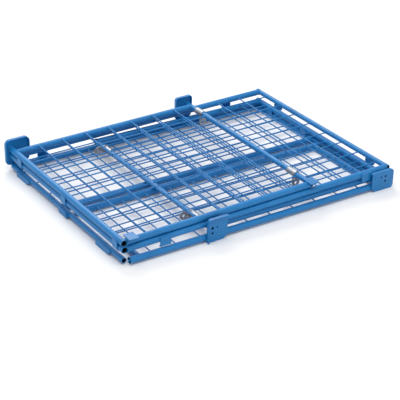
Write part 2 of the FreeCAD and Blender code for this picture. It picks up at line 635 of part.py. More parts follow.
def build_upper_short(doc, seat):
    """Upper short gate: frame, mesh, straps, corner plates and latches."""
    plane = PITCH
    hinge = "(-long_span / 2)"
    free = "(-long_span / 2 + upper_short_span)"
    free_z = f"({plane} + (tube_diameter - slim_diameter) / 2)"
    name = "upper_short"
    short_gate(doc, name, hinge, free, plane, free_z, "upper_short_front", "upper_short_back",
               "upper_short_bottom_rail", "upper_short_top_rail", "upper_short_first_cross", "+", seat)
    for label, y in (("front", "-upper_strap_front"), ("middle", "-upper_strap_middle"), ("back", "upper_strap_back")):
        node(strap(doc, f"{name}_{label}_strap", hinge, y, plane, "0"), f"{name}_{label}_strap", seat)
    lip_low = "(tube_diameter / 2 + plate_lip_clearance)"
    node(corner_plate(doc, f"{name}_left_plate", f"({hinge} - upper_left_plate_outer)",
                      f"({hinge} + upper_left_plate_inner)", f"({plane} - upper_left_plate_drop)",
                      f"({plane} + upper_left_plate_rise)", "upper_short_back", False, ("left", "right"), True,
                      [S.plate_round] * 4, [], (f"({hinge})", lip_low)), f"{name}_left_plate", seat)
    left = f"({free} - upper_right_plate_inner)"
    node(corner_plate(doc, f"{name}_right_plate", left, f"({free} + upper_right_plate_outer)",
                      f"({free_z} - upper_right_plate_drop)", f"({free_z} + upper_right_plate_rise)",
                      "upper_short_back", False, ("left", "right"), True,
                      [S.plate_close_round] * 4, [], (f"({left} - plate_lip)", lip_low)),
         f"{name}_right_plate", seat)
    stop_tab(doc, f"{name}_left_tab", -S.long_span / 2 + S.left_tab_inset, S.left_tab_front, seat)
    stop_tab(doc, f"{name}_free_tab", -S.long_span / 2 + S.upper_short_span, S.free_tab_front, seat)
    for label, y in (("front", "-upper_latch_front"), ("back", "upper_latch_back")):
        node(sleeve(doc, f"upper_{label}_latch_sleeve", free, y, free_z), f"upper_latch_{label}_sleeve", seat)
        node(eye_down(doc, f"upper_{label}_latch", free, f"{y} - eye_offset", free_z),
             f"upper_latch_{label}_eye", seat)


def make_sheet(doc):
    """Spreadsheet with one named cell for each size."""
    sheet = doc.addObject("Spreadsheet::Sheet", "dims")
    for row, (name, value) in enumerate(SIZES.items(), start=1):
        sheet.set(f"A{row}", name)
        sheet.set(f"B{row}", str(value))
        sheet.setAlias(f"B{row}", name)
    doc.recompute()


def write_parts(doc):
    """Checks every object and writes each piece to a STEP file of its own name."""
    for thing in doc.Objects:
        if "Invalid" in thing.State or "Error" in thing.State:
            raise RuntimeError(f"{thing.Name} failed: {thing.State}")
    os.makedirs("parts", exist_ok=True)
    for piece in NODES:
        shape = piece.Shape
        if shape.isNull() or not shape.isValid():
            raise RuntimeError(f"{piece.Label} has no valid shape")
        shape.exportStep(f"parts/{piece.Label}.step")
        print(f"{piece.Label}: {len(shape.Solids)} solids, {shape.Volume:.0f} mm3")


def main():
    """Builds the converter frame."""
    doc = FreeCAD.newDocument("pallet_converter")
    make_sheet(doc)
    build_lower_long(doc)
    build_flap(doc)
    build_lower_short(doc)
    seat = upper_seat()
    build_upper_long(doc, seat)
    build_upper_short(doc, seat)
    doc.recompute()
    write_parts(doc)
    print("upper hinge height", round(seat.multVec(FreeCAD.Vector(-S.long_span / 2, 0, 0)).z, 4))


main()
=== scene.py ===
import json
import logging
import math
from collections.abc import Callable, Sequence
from dataclasses import dataclass, field
from enum import Enum

import bmesh
import bpy
from bpy.types import Material, Mesh, Node, NodeSocket, Object
from mathutils import Matrix, Vector

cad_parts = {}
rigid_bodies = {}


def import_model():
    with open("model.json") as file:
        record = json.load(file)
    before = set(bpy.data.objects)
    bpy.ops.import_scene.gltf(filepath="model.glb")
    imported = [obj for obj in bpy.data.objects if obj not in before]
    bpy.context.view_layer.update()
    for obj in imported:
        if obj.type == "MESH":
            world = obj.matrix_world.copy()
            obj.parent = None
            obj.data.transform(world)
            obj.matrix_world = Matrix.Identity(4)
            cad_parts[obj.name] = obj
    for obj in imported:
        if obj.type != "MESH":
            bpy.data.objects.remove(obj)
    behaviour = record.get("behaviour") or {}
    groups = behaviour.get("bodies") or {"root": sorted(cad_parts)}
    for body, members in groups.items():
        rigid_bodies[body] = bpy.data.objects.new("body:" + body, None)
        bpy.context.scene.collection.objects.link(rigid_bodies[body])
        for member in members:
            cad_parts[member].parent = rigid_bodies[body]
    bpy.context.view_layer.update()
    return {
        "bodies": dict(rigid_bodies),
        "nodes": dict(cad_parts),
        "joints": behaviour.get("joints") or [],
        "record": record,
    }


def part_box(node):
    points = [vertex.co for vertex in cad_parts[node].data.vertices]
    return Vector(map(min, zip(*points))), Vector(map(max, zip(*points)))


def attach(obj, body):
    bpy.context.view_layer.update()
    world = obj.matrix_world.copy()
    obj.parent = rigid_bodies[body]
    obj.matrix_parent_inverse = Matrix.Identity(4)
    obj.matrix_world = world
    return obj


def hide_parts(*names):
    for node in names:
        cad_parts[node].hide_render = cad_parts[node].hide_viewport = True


logging.basicConfig(level=logging.INFO, format="%(message)s")
log = logging.getLogger("scene")

MM = 0.001
Point = tuple[float, float, float]
Colour = tuple[float, float, float]
Stop = tuple[float, float]
Socket = str | int
Wire = tuple[Node, Socket, Node, Socket]
Path = list[Vector]

ALONG_X = Vector((1, 0, 0))
ALONG_Y = Vector((0, 1, 0))
ALONG_Z = Vector((0, 0, 1))
MIX_FACTOR, MIX_A, MIX_B = 0, 6, 7
MIX_RESULT = 2
TURN = 2 * math.pi
SCUFF_BLUE = (0.08, 0.25, 0.47)
BARE_STEEL = (0.09, 0.10, 0.11)
RUST_BROWN = (0.20, 0.13, 0.08)

BOTH_ENDS = (("hinge_post", -1), ("hinge_post", 1), ("free_post", -1), ("free_post", 1))
MOUTHS = {
    "lower_long": BOTH_ENDS,
    "lower_short": (("hinge_post", 1), ("free_post", 1)),
    "upper_long": BOTH_ENDS,
    "upper_short": (("hinge_post", -1), ("free_post", -1)),
    "lower_flap": (("top_rail", -1), ("top_rail", 1)),
}
RING_STEPS = 48
BEAD_STEP = 1.2 * MM
RIPPLE = 0.3
LINE_STEPS = 20
SAME_PLACE = 1e-6
END_BAND = 0.5 * MM
WELD_LIFT = 0.1 * MM
LEAST_REACH = 2.2 * MM

# Lathe profiles: radius and height of each ring
BLOB = [(0, -1), (0.62, -0.78), (0.97, -0.25), (0.97, 0.25), (0.62, 0.78), (0, 1)]
BUSH = [(0.80, 0.0), (1.0, 0.0), (1.0, 1.0), (0.80, 1.0), (0.80, 0.0)]
BOLT_HEAD = [(0, 0.0), (1.0, 0.0), (1.0, 0.78), (0.88, 1.0), (0, 1.0)]
PIN = [(0, 0.0), (0.78, 0.0), (1.0, 0.04), (1.0, 1.0), (0, 1.0)]


@dataclass(frozen=True)
class Finish:
    """One surface finish.

    Attributes:
        name: Name of the material.
        make: What builds its material.
        slot: The record's material slot.
        base: Main colour, linear RGB.
        dark: Darker colour of grime and random tone, and painted shade in weld pits and tube bores, linear RGB.
        light: Colour of worn or faded spots, linear RGB.
        roughness: Middle roughness.
    """

    name: str
    make: Callable[["Finish"], Material]
    slot: str
    base: Colour
    dark: Colour
    light: Colour
    roughness: float


class Graph:
    """Small helper that adds and links nodes in one node tree."""

    def __init__(self, tree: bpy.types.NodeTree) -> None:
        """Takes the tree that the nodes go in."""
        self.tree = tree

    def add(self, kind: str, values: dict | None = None, **settings) -> Node:
        """Adds a node.

        Args:
            kind: Blender's name of the node type.
            values: Values of its inputs, by name or number.
            **settings: Properties to set on it.

        Returns:
            The new node.
        """
        made = self.tree.nodes.new(kind)
        for key, value in settings.items():
            setattr(made, key, value)
        for key, value in (values or {}).items():
            made.inputs[key].default_value = value
        return made

    def link(self, *wires: Wire) -> None:
        """Joins outputs to inputs; a wire is a source node, its output, a target node and its input."""
        for source, out, target, into in wires:
            self.tree.links.new(source.outputs[out], target.inputs[into])


class ShaderGraph(Graph):
    """Nodes of one material, with textures in object coordinates. Most methods take and give outputs."""

    def __init__(self, name: str) -> None:
        """Starts an empty material.

        Args:
            name: Name of the material.
        """
        self.material = bpy.data.materials.new(name)
        self.material.use_nodes = True
        super().__init__(self.material.node_tree)
        self.tree.nodes.clear()
        self.output = self.add("ShaderNodeOutputMaterial")
        self.shader = self.add("ShaderNodeBsdfPrincipled")
        self.where = self.add("ShaderNodeTexCoord")
        self.link((self.shader, "BSDF", self.output, "Surface"))

    def feed(self, source: NodeSocket, target: Node, into: Socket) -> None:
        """Joins an output to an input of the target."""
        self.tree.links.new(source, target.inputs[into])

    def noise(self, scale: float, detail: float, rough: float = 0.5) -> NodeSocket:
        """Adds noise.

        Args:
            scale: Noise scale, per metre.
            detail: Octaves.
            rough: How strong the fine octaves are.

        Returns:
            Its value.
        """
        made = self.add("ShaderNodeTexNoise", {"Scale": scale, "Detail": detail, "Roughness": rough})
        self.link((self.where, "Object", made, "Vector"))
        return made.outputs["Fac"]

    def cells(self, scale: float, out: str) -> NodeSocket:
        """Adds a cell pattern.

        Args:
            scale: Cells per metre.
            out: Which output.

        Returns:
            That output.
        """
        made = self.add("ShaderNodeTexVoronoi", {"Scale": scale})
        self.link((self.where, "Object", made, "Vector"))
        return made.outputs[out]

    def ramp(self, source: NodeSocket, stops: list[tuple[float, Colour]]) -> NodeSocket:
        """Adds a colour ramp.

        Args:
            source: The factor.
            stops: Pairs of position and RGB colour.

        Returns:
            The colour.
        """
        made = self.add("ShaderNodeValToRGB")
        elements = made.color_ramp.elements
        while len(elements) < len(stops):
            elements.new(0.5)
        for element, (place, colour) in zip(elements, stops):
            element.position = place
            element.color = (*colour, 1.0)
        self.feed(source, made, "Fac")
        return made.outputs["Color"]

    def amount(self, source: NodeSocket, *stops: Stop) -> NodeSocket:
        """Adds a ramp of greys, its stops being pairs of position and value."""
        return self.ramp(source, [(place, (value, value, value)) for place, value in stops])

    def mix(self, factor: NodeSocket | float, a: NodeSocket, b: Colour) -> NodeSocket:
        """Adds a colour mix.

        Args:
            factor: The factor, as an output or a number.
            a: Colour at factor 0.
            b: Colour at factor 1.

        Returns:
            The mixed colour.
        """
        made = self.add("ShaderNodeMix", {MIX_B: (*b, 1.0)}, data_type="RGBA")
        if isinstance(factor, float):
            made.inputs[MIX_FACTOR].default_value = factor
        else:
            self.feed(factor, made, MIX_FACTOR)
        self.feed(a, made, MIX_A)
        return made.outputs[MIX_RESULT]

    def bump(self, height: NodeSocket, strength: float, distance: float,
             under: NodeSocket | None = None) -> NodeSocket:
        """Adds a bump.

        Args:
            height: The height.
            strength: How strong.
            distance: Height of a full step, in metres.
            under: Bump that comes before this one.

        Returns:
            Its normal.
        """
        made = self.add("ShaderNodeBump", {"Strength": strength, "Distance": distance})
        self.feed(height, made, "Height")
        if under is not None:
            self.feed(under, made, "Normal")
        return made.outputs["Normal"]

    def end(self, colour: NodeSocket, gloss: NodeSocket, relief: NodeSocket, values: dict[str, float]) -> Material:
        """Joins the parts of the finish to the shader.

        Args:
            colour: Base colour.
            gloss: Roughness.
            relief: Normal.
            values: Other inputs of the shader.

        Returns:
            The material.
        """
        for source, into in ((colour, "Base Color"), (gloss, "Roughness"), (relief, "Normal")):
            self.feed(source, self.shader, into)
        for key, value in values.items():
            self.shader.inputs[key].default_value = value
        return self.material


def powder_coat(finish: Finish) -> Material:
    """Baked powder coat: orange peel, shade drift, fine scratches, dust and small chips.

    Args:
        finish: Colours and roughness.

    Returns:
        The material.
    """
    graph = ShaderGraph(finish.name)
    drift = graph.noise(7.0, 4.0, 0.55)
    shade = graph.ramp(drift, [(0.30, finish.dark), (0.45, finish.base), (0.60, finish.base), (0.82, finish.light)])
    even = graph.mix(0.60, shade, finish.base)
    dust = graph.noise(38.0, 6.0, 0.65)
    dusty = graph.mix(graph.amount(dust, (0.50, 0.0), (0.78, 0.26)), even, finish.light)
    grime = graph.noise(16.0, 6.0, 0.72)
    grimy = graph.mix(graph.amount(grime, (0.28, 0.45), (0.42, 0.0)), dusty, finish.dark)
    scuff = graph.noise(120.0, 6.0, 0.7)
    scuffed = graph.mix(graph.amount(scuff, (0.66, 0.0), (0.72, 0.45)), grimy, SCUFF_BLUE)
    chips = graph.amount(graph.noise(210.0, 2.0, 0.4), (0.775, 0.0), (0.79, 0.8))
    chipped = graph.mix(chips, scuffed, BARE_STEEL)
    gloss = graph.amount(dust, (0.30, finish.roughness - 0.07), (0.75, finish.roughness + 0.16))
    peel = graph.bump(graph.noise(900.0, 2.0), 0.16, 0.0004)
    waves = graph.bump(graph.noise(260.0, 3.0), 0.10, 0.0006, peel)
    edges = graph.bump(chips, -0.25, 0.0002, waves)
    return graph.end(chipped, gloss, edges,
                     {"Specular IOR Level": 0.33, "Coat Weight": 0.06, "Coat Roughness": 0.28})


def coated_weld(finish: Finish) -> Material:
    """Powder coat over a weld bead: uneven, with dull spatter and pits darkened by painted shade.

    Args:
        finish: Colours and roughness.

    Returns:
        The material.
    """
    graph = ShaderGraph(finish.name)
    pool = graph.noise(150.0, 4.0, 0.6)
    shade = graph.ramp(pool, [(0.34, finish.dark), (0.48, finish.base), (0.72, finish.light)])
    # Painted shade: the colour turns dark in the pits, which the bump below also sinks.
    pits = graph.amount(graph.cells(520.0, "Distance"), (0.06, 0.7), (0.16, 0.0))
    pit_shaded = graph.mix(pits, shade, finish.dark)
    gloss = graph.amount(pool, (0.35, finish.roughness), (0.70, finish.roughness + 0.20))
    lumps = graph.bump(graph.noise(420.0, 3.0), 0.35, 0.0006)
    return graph.end(pit_shaded, gloss, graph.bump(pits, -0.3, 0.0004, lumps), {})


def zinc_plate(finish: Finish) -> Material:
    """Bright zinc plate: soft spangle, fine drawing marks, white bloom and a few rust-brown specks.

    Args:
        finish: Colours and roughness.

    Returns:
        The material.
    """
    graph = ShaderGraph(finish.name)
    flake = graph.ramp(graph.cells(260.0, "Color"), [(0.0, finish.dark), (0.45, finish.base), (1.0, finish.light)])
    bloom = graph.noise(90.0, 5.0, 0.6)
    even = graph.mix(0.62, flake, finish.base)
    bloomed = graph.mix(graph.amount(bloom, (0.48, 0.0), (0.74, 0.6)), even, finish.light)
    specks = graph.amount(graph.noise(330.0, 3.0, 0.6), (0.60, 0.0), (0.72, 0.6))
    specked = graph.mix(specks, bloomed, RUST_BROWN)
    gloss = graph.amount(bloom, (0.35, finish.roughness - 0.06), (0.75, finish.roughness + 0.22))
    marks = graph.bump(graph.noise(700.0, 2.0), 0.12, 0.0003)
    return graph.end(specked, gloss, marks, {"Metallic": 1.0})


def bore_shade_paint(finish: Finish) -> Material:
    """Painted shade inside a tube: near-black, with faint brownish mottling.

    Args:
        finish: Colours and roughness.

    Returns:
        The material.
    """
    graph = ShaderGraph(finish.name)
    scale = graph.noise(140.0, 5.0, 0.7)
    colour = graph.ramp(scale, [(0.35, finish.dark), (0.55, finish.base), (0.75, finish.light)])
    gloss = graph.amount(scale, (0.35, finish.roughness - 0.1), (0.7, finish.roughness + 0.15))
    return graph.end(colour, gloss, graph.bump(scale, 0.3, 0.0004),
                     {"Metallic": 0.2, "Specular IOR Level": 0.2})


BLUE = Finish("blue_powder_coat", powder_coat, "blue_coat", (0.008, 0.178, 0.466), (0.004, 0.090, 0.262),
              (0.032, 0.252, 0.575), 0.36)
WELD_BLUE = Finish("blue_coated_weld", coated_weld, "blue_coat", (0.009, 0.162, 0.430), (0.004, 0.085, 0.250),
                   (0.032, 0.240, 0.550), 0.42)
ZINC = Finish("bright_zinc", zinc_plate, "zinc_plate", (0.32, 0.34, 0.37), (0.16, 0.165, 0.18),
              (0.46, 0.48, 0.53), 0.40)
# Near-black painted shade for the insides of open tubes and holes.
BORE_SHADE = Finish("raw_tube_bore", bore_shade_paint, "blue_coat", (0.006, 0.007, 0.010), (0.002, 0.002, 0.003),
              (0.020, 0.016, 0.013), 0.75)


class GeometryTree(Graph):
    """One Geometry Nodes tree with named inputs."""

    def __init__(self, name: str, **inputs: str) -> None:
        """Starts a tree with a geometry input and output and a material input.

        Args:
            name: Name of the tree.
            **inputs: Blender's socket type of each other input, without its first word.
        """
        super().__init__(bpy.data.node_groups.new(name, "GeometryNodeTree"))
        self.sockets: dict[str, str] = {}
        self.tree.interface.new_socket("Geometry", in_out="OUTPUT", socket_type="NodeSocketGeometry")
        for label, kind in {"Geometry": "Geometry", **inputs, "Material": "Material"}.items():
            socket = self.tree.interface.new_socket(label, in_out="INPUT", socket_type=f"NodeSocket{kind}")
            self.sockets[label] = socket.identifier
        self.source = self.add("NodeGroupInput")
        self.result = self.add("NodeGroupOutput")

    def finish(self, last: Node, out: Socket) -> None:
        """Ends the tree: instances made real, material set.

        Args:
            last: Node that gives the geometry.
            out: Its output.
        """
        real = self.add("GeometryNodeRealizeInstances")
        painted = self.add("GeometryNodeSetMaterial")
        self.link((last, out, real, "Geometry"), (real, "Geometry", painted, "Geometry"),
                  (self.source, "Material", painted, "Material"), (painted, "Geometry", self.result, "Geometry"))


def stamp_tree() -> GeometryTree:
    """Tree that sets a stamp on every point, turned and stretched by the point's own values.

    Returns:
        The tree.
    """
    tree = GeometryTree("stamp_on_points", Stamp="Object", Least="Float", Most="Float", Seed="Int")
    points = tree.add("GeometryNodeMeshToPoints")
    stamp = tree.add("GeometryNodeObjectInfo")
    turn = tree.add("GeometryNodeInputNamedAttribute", {"Name": "turn"}, data_type="FLOAT_VECTOR")
    stretch = tree.add("GeometryNodeInputNamedAttribute", {"Name": "stretch"}, data_type="FLOAT_VECTOR")
    rotation = tree.add("FunctionNodeEulerToRotation")
    random = tree.add("FunctionNodeRandomValue", data_type="FLOAT")
    size = tree.add("ShaderNodeVectorMath", operation="SCALE")
    place = tree.add("GeometryNodeInstanceOnPoints")
    tree.link((tree.source, "Least", random, 2), (tree.source, "Most", random, 3),
              (tree.source, "Seed", random, "Seed"), (stretch, 0, size, 0), (random, 1, size, "Scale"),
              (tree.source, "Geometry", points, "Mesh"), (tree.source, "Stamp", stamp, "Object"),
              (points, "Points", place, "Points"), (stamp, "Geometry", place, "Instance"),
              (turn, 0, rotation, 0), (rotation, 0, place, "Rotation"), (size, 0, place, "Scale"))
    tree.finish(place, "Instances")
    return tree


def bead_tree() -> GeometryTree:
    """Tree that runs a rippled weld bead along every path.

    Returns:
        The tree.
    """
    tree = GeometryTree("weld_bead_on_path", Radius="Float", Seed="Float")
    path = tree.add("GeometryNodeMeshToCurve")
    even = tree.add("GeometryNodeResampleCurve", {"Length": BEAD_STEP}, mode="LENGTH")
    spot = tree.add("GeometryNodeInputPosition")
    shift = tree.add("ShaderNodeVectorMath", operation="ADD")
    noise = tree.add("ShaderNodeTexNoise", {"Scale": 380.0, "Detail": 2.0})
    width = tree.add("ShaderNodeMath", {1: RIPPLE, 2: 1 - RIPPLE / 2}, operation="MULTIPLY_ADD")
    ring = tree.add("GeometryNodeCurvePrimitiveCircle", {"Resolution": 8})
    solid = tree.add("GeometryNodeCurveToMesh", {"Fill Caps": True})
    smooth = tree.add("GeometryNodeSetShadeSmooth")
    tree.link((tree.source, "Geometry", path, "Mesh"), (path, "Curve", even, "Curve"), (spot, 0, shift, 0),
              (tree.source, "Seed", shift, 1), (shift, 0, noise, "Vector"), (noise, 0, width, 0),
              (tree.source, "Radius", ring, "Radius"), (even, "Curve", solid, "Curve"), (width, 0, solid, "Scale"),
              (ring, "Curve", solid, "Profile Curve"), (solid, "Mesh", smooth, "Geometry"))
    tree.finish(smooth, "Geometry")
    return tree


def put(name: str, data: bpy.types.ID) -> Object:
    """Sets an object in the scene.

    Args:
        name: Its name.
        data: Its mesh, light or camera.

    Returns:
        The object.
    """
    thing = bpy.data.objects.new(name, data)
    bpy.context.scene.collection.objects.link(thing)
    return thing


def kept_mesh(name: str, work: bmesh.types.BMesh) -> Mesh:
    """Turns a working mesh into a plain one.

    Args:
        name: Name of the mesh.
        work: The working mesh; it is used up.

    Returns:
        The mesh.
    """
    mesh = bpy.data.meshes.new(name)
    work.to_mesh(mesh)
    work.free()
    return mesh


@dataclass
class Mark:
    """One copy of a round stamp: where its foot is, its axis, its radius and its length."""

    place: Vector
    along: Vector
    radius: float
    length: float


@dataclass
class Workshop:
    """What every sub-assembly builds with: the loaded frame, the two trees and the materials made so far."""

    frame: dict
    stamps: GeometryTree
    beads: GeometryTree
    made: dict[str, Material] = field(default_factory=dict)

    def paint(self, finish: Finish) -> Material:
        """Material of a finish, made once.

        Args:
            finish: Which one.

        Returns:
            The material.
        """
        if finish.name not in self.made:
            self.made[finish.name] = finish.make(finish)
        return self.made[finish.name]

    def piece(self, name: str, mesh: Mesh, body: str, finish: Finish) -> Object:
        """Makes a finished mesh a piece: faces outwards, painted and on its body.

        Args:
            name: Name of the piece.
            mesh: Its mesh, in place.
            body: The body that it moves with.
            finish: Its finish.

        Returns:
            The piece.
        """
        work = bmesh.new()
        work.from_mesh(mesh)
        bmesh.ops.recalc_face_normals(work, faces=work.faces)
        work.to_mesh(mesh)
        work.free()
        mesh.name = name
        if not mesh.materials:
            mesh.materials.append(self.paint(finish))
        thing = put(name, mesh)
        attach(thing, body)
        log.info("piece %s: %d faces, rides %s", name, len(mesh.polygons), body)
        return thing

    def grow(self, name: str, body: str, finish: Finish, tree: GeometryTree, start: Mesh, values: dict) -> None:
        """Runs a tree and keeps the result as a piece with a plain mesh.

        Args:
            name: Name of the piece.
            body: The body that it moves with.
            finish: Its finish.
            tree: The tree.
            start: Mesh that the tree starts from.
            values: The tree's other inputs by name.
        """
        source = put(start.name, start)
        modifier = source.modifiers.new("tree", "NODES")
        modifier.node_group = tree.tree
        for key, value in (values | {"Material": self.paint(finish)}).items():
            modifier[tree.sockets[key]] = value
        source.update_tag()
        bpy.context.view_layer.update()
        mesh = bpy.data.meshes.new_from_object(source.evaluated_get(bpy.context.evaluated_depsgraph_get()))
        source.modifiers.remove(modifier)
        bpy.data.objects.remove(source)
        self.piece(name, mesh, body, finish)

    def run_beads(self, name: str, body: str, radius: float, seed: float, rings: Sequence[Path] = (),
                  lines: Sequence[Path] = (), finish: Finish = WELD_BLUE) -> None:
        """Weld beads along paths, as one piece.

        Args:
            name: Name of the piece.
            body: The body that it moves with.
            radius: Bead radius, in metres.
            seed: Shifts the ripple.
            rings: Closed paths.
            lines: Open paths.
            finish: Its finish.
        """
        points: Path = []
        edges: list[tuple[int, int]] = []
        for path, closed in [(ring, True) for ring in rings] + [(line, False) for line in lines]:
            first = len(points)
            points.extend(path)
            edges.extend((first + k, first + k + 1) for k in range(len(path) - 1))
            if closed:
                edges.append((len(points) - 1, first))
        mesh = bpy.data.meshes.new(name + "_paths")
        mesh.from_pydata(points, edges, [])
        self.grow(name, body, finish, self.beads, mesh, {"Radius": radius, "Seed": seed})

    def set_stamps(self, name: str, body: str, finish: Finish, stamp: Mesh, marks: list[Mark],
                   variation: float = 0.0, seed: int = 1) -> None:
        """Copies of a stamp on marks, as one piece.

        Args:
            name: Name of the piece.
            body: The body that it moves with.
            finish: Its finish.
            stamp: Mesh of the stamp, its axis along Z.
            marks: Where the copies go.
            variation: How much the copies differ in size.
            seed: Picks the differences.
        """
        mesh = bpy.data.meshes.new(name + "_marks")
        mesh.from_pydata([mark.place for mark in marks], [], [])
        turn = mesh.attributes.new("turn", "FLOAT_VECTOR", "POINT")
        stretch = mesh.attributes.new("stretch", "FLOAT_VECTOR", "POINT")
        for index, mark in enumerate(marks):
            turn.data[index].vector = mark.along.to_track_quat("Z", "Y").to_euler()
            stretch.data[index].vector = (mark.radius, mark.radius, mark.length)
        mould = put(name + "_stamp", stamp)
        self.grow(name, body, finish, self.stamps, mesh,
                  {"Stamp": mould, "Least": 1.0 - variation, "Most": 1.0 + variation, "Seed": seed})
        bpy.data.objects.remove(mould)


class Assembly:
    """A sub-assembly that rides on the solids."""

    def build(self, shop: Workshop) -> None:
        """Builds its pieces with what the shop holds."""
        raise NotImplementedError


def nodes(gate: str, *labels: str) -> tuple[str, ...]:
    """Names of a gate's CAD nodes.

    Args:
        gate: The gate.
        *labels: What follows the gate's name in each.

    Returns:
        The names.
    """
    return tuple(f"{gate}_{label}" for label in labels)


def middle(node: str) -> Vector:
    """Middle of a CAD node's box.

    Args:
        node: The node's name.

    Returns:
        The middle.
    """
    low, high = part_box(node)
    return (Vector(low) + Vector(high)) / 2


def turns(count: int) -> list[tuple[float, float]]:
    """Even steps round a circle.

    Args:
        count: How many.

    Returns:
        Cosine and sine of each.
    """
    return [(math.cos(TURN * k / count), math.sin(TURN * k / count)) for k in range(count)]


def lathe(name: str, profile: list[Stop], sides: int, smooth: bool = False) -> Mesh:
    """Closed solid turned about Z.

    Args:
        name: Name of the mesh.
        profile: Radius and height of each ring, from the first pole to the last.
        sides: Faces round the axis.
        smooth: Whether its faces shade smoothly.

    Returns:
        The mesh.
    """
    work = bmesh.new()
    rings = [[work.verts.new((radius * c, radius * s, height)) for c, s in turns(sides if radius else 1)]
             for radius, height in profile]
    for lower, upper in zip(rings, rings[1:]):
        for k in range(sides):
            corners = [lower[k % len(lower)], lower[(k + 1) % len(lower)],
                       upper[(k + 1) % len(upper)], upper[k % len(upper)]]
            work.faces.new(list(dict.fromkeys(corners)))
    bmesh.ops.recalc_face_normals(work, faces=work.faces)
    for face in work.faces:
        face.smooth = smooth
    return kept_mesh(name, work)


def cup(name: str, wall: float, floor: float, sides: int) -> Mesh:
    """Cup with its mouth at the foot, of radius and height 1.

    Args:
        name: Name of the mesh.
        wall: Inner radius.
        floor: Inner height.
        sides: Faces round the axis.

    Returns:
        The mesh.
    """
    return lathe(name, [(0, 1.0), (1.0, 1.0), (1.0, 0.0), (wall, 0.0), (wall, floor), (0, floor)], sides)


def slab(name: str, corners: Path, depth: Vector, round_by: float) -> Mesh:
    """Plate from a flat outline, with softened edges.

    Args:
        name: Name of the mesh.
        corners: Its outline, in order.
        depth: Its thickness, as a vector.
        round_by: Radius of the edges.

    Returns:
        The mesh.
    """
    work = bmesh.new()
    face = work.faces.new([work.verts.new(corner) for corner in corners])
    pushed = bmesh.ops.extrude_face_region(work, geom=[face])
    moved = [item for item in pushed["geom"] if isinstance(item, bmesh.types.BMVert)]
    bmesh.ops.translate(work, verts=moved, vec=depth)
    bmesh.ops.recalc_face_normals(work, faces=work.faces)
    bmesh.ops.bevel(work, geom=list(work.edges), offset=round_by, segments=2, affect="EDGES", profile=0.6)
    return kept_mesh(name, work)


@dataclass
class GatePlane:
    """A gate's own axes: the origin on its hinge post, x across to its free post, y along the posts, z up."""

    origin: Vector
    across: Vector
    up: Vector

    @classmethod
    def between(cls, gate: str, near: str = "hinge_post", far: str = "free_post") -> "GatePlane":
        """Plane of a gate.

        Args:
            gate: The gate.
            near: Its post at the origin.
            far: Its other post.

        Returns:
            The plane.
        """
        start = middle(f"{gate}_{near}")
        across = middle(f"{gate}_{far}") - start
        across.y = 0
        across.normalize()
        up = Vector((-across.z, 0, across.x))
        if up.z < 0:
            up = -up
        return cls(Vector((start.x, 0, start.z)), across, up)

    def at(self, x: float, y: float, z: float) -> Vector:
        """World place of a point in the gate's axes."""
        return self.origin + self.across * x + Vector((0, y, 0)) + self.up * z

    def of(self, point: Vector) -> Vector:
        """A world point in the gate's axes."""
        away = point - self.origin
        return Vector((away.dot(self.across), point.y, away.dot(self.up)))

    def line(self, start: Point, end: Point) -> Path:
        """Straight path between two points in the gate's axes."""
        return [self.at(*(a + (b - a) * k / LINE_STEPS for a, b in zip(start, end))) for k in range(LINE_STEPS + 1)]


def saddle(centre: Vector, axes: tuple[Vector, Vector, Vector], branch: float, main: float, offset: float) -> Path:
    """Path of the weld where one tube ends on another.

    Args:
        centre: Point on the main tube's axis, at the branch tube.
        axes: The way in which the branch leaves, the main tube's direction, and the one square to both.
        branch: Radius of the branch tube.
        main: Radius of the main tube.
        offset: Height of the branch's axis above the main one's.

    Returns:
        Closed path.
    """
    run, side, up = axes
    branch, main = branch + WELD_LIFT, main + WELD_LIFT
    path = []
    for c, s in turns(RING_STEPS):
        height = branch * s + offset
        reach = math.sqrt(max(main ** 2 - height ** 2, LEAST_REACH ** 2))
        path.append(centre + run * reach + side * (branch * c) + up * height)
    return path


@dataclass
class Rod:
    """One mesh wire: the middle of each end."""

    start: Vector
    end: Vector


def rods_of(node: Object) -> list[Rod]:
    """Wires of a CAD node, read from its mesh.

    Args:
        node: The node's object.

    Returns:
        Its wires, from left to right.
    """
    work = bmesh.new()
    work.from_mesh(node.data)
    bmesh.ops.remove_doubles(work, verts=work.verts, dist=SAME_PLACE)
    left = set(work.verts)
    rods = []
    while left:
        island = []
        stack = [left.pop()]
        while stack:
            corner = stack.pop()
            island.append(corner.co.copy())
            for edge in corner.link_edges:
                other = edge.other_vert(corner)
                if other in left:
                    left.remove(other)
                    stack.append(other)
        axis = max(range(3), key=lambda k: max(co[k] for co in island) - min(co[k] for co in island))
        low, high = min(co[axis] for co in island), max(co[axis] for co in island)
        near = [co for co in island if co[axis] < low + END_BAND]
        far = [co for co in island if co[axis] > high - END_BAND]
        rods.append(Rod(sum(near, Vector()) / len(near), sum(far, Vector()) / len(far)))
    work.free()
    rods.sort(key=lambda rod: (round(rod.start.x, 4), round(rod.start.y, 4)))
    return rods


@dataclass(frozen=True)
class Spacing:
    """Where a gate's uprights stand in the photograph, counted from the solids' places.

    Attributes:
        count: How many there are.
        first: How far the leftmost one is moved, towards the second post.
        step: How much further each next one is moved.
    """

    count: int
    first: float
    step: float = 0.0


class Joinery(Enum):
    """Which tubes of a gate end on the others."""

    RAILS_ON_POSTS = "rails on posts"
    STILES_ON_RAILS = "stiles on rails"


